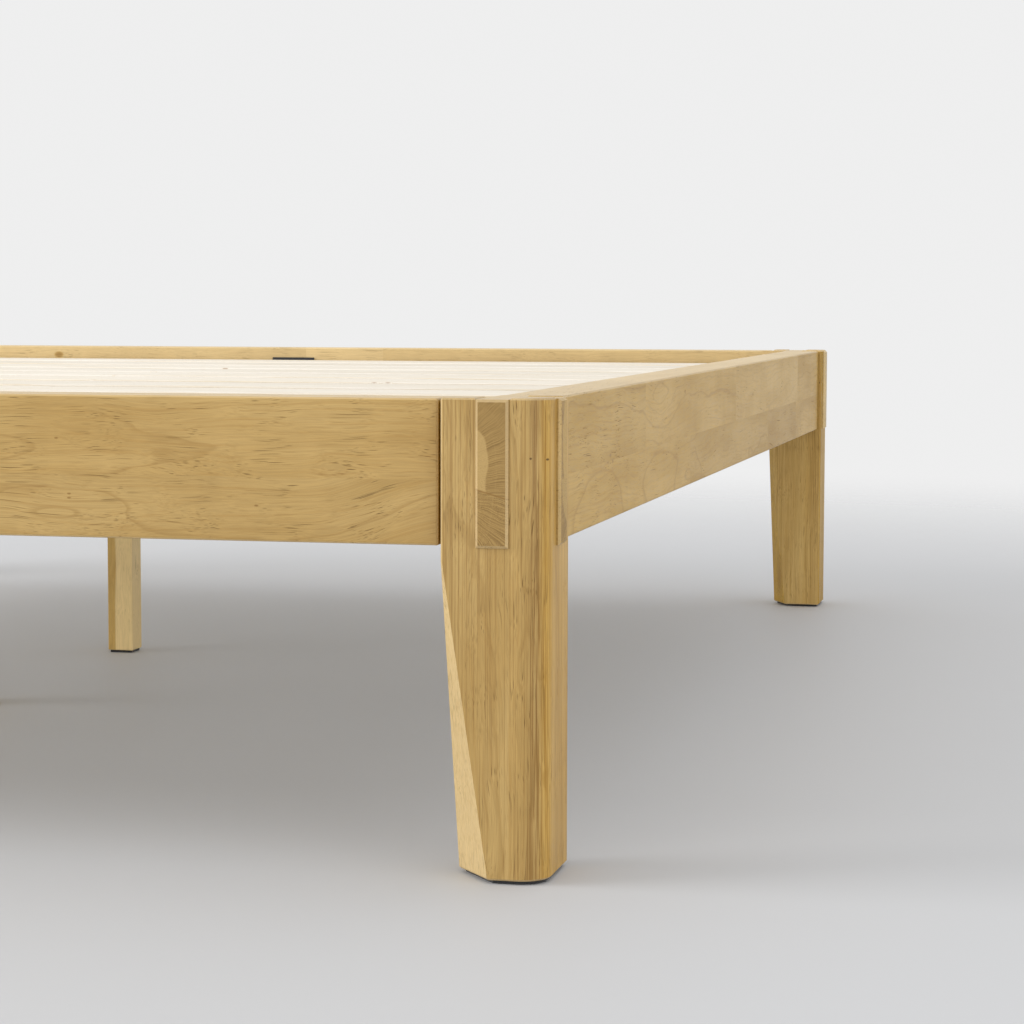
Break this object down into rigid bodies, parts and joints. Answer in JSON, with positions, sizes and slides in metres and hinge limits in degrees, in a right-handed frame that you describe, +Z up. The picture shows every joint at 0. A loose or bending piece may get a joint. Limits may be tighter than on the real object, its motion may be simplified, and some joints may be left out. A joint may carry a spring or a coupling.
{
  "type": "slatted platform bed",
  "caption": "Low hardwood platform bed whose rail ends pass through square legs, with pine slats on ledges and a propped centre beam.",
  "frame": {"origin": "middle of the bed's footprint, on the floor", "axes": "+X to the right seen from the foot, +Y from the foot to the head, +Z up"},
  "size_m": [1.7292, 2.1432, 0.399],
  "materials": {
    "hardwood": "satin clear lacquer over honey coloured, open-pored hardwood",
    "pine": "planed, unfinished pale softwood",
    "black_steel": "black powder coat",
    "zinc": "zinc plated",
    "felt": "black needle felt"
  },
  "bodies": {
    "root": {"foot_leg_left": "hardwood", "foot_leg_pad_left": "felt", "foot_leg_right": "hardwood", "foot_leg_pad_right": "felt", "head_leg_left": "hardwood", "head_leg_pad_left": "felt", "head_leg_right": "hardwood", "head_leg_pad_right": "felt", "side_rail_left": "hardwood", "side_rail_right": "hardwood", "foot_rail": "hardwood", "head_rail": "hardwood", "slat_ledge_left": "hardwood", "slat_ledge_right": "hardwood", "centre_beam": "pine", "beam_bracket_foot": "black_steel", "beam_bracket_head": "black_steel", "support_post_foot": "hardwood", "support_post_head": "hardwood", "post_pad_foot": "felt", "post_pad_head": "felt", "post_inserts": "zinc", "post_bolts": "zinc", "slat_01": "pine", "slat_02": "pine", "slat_03": "pine", "slat_04": "pine", "slat_05": "pine", "slat_06": "pine", "slat_07": "pine", "slat_08": "pine", "slat_09": "pine", "slat_10": "pine", "slat_11": "pine", "slat_screws": "zinc", "ledge_screws": "zinc", "bracket_screws": "black_steel", "corner_lock_bolts": "zinc"}
  },
  "joints": []
}
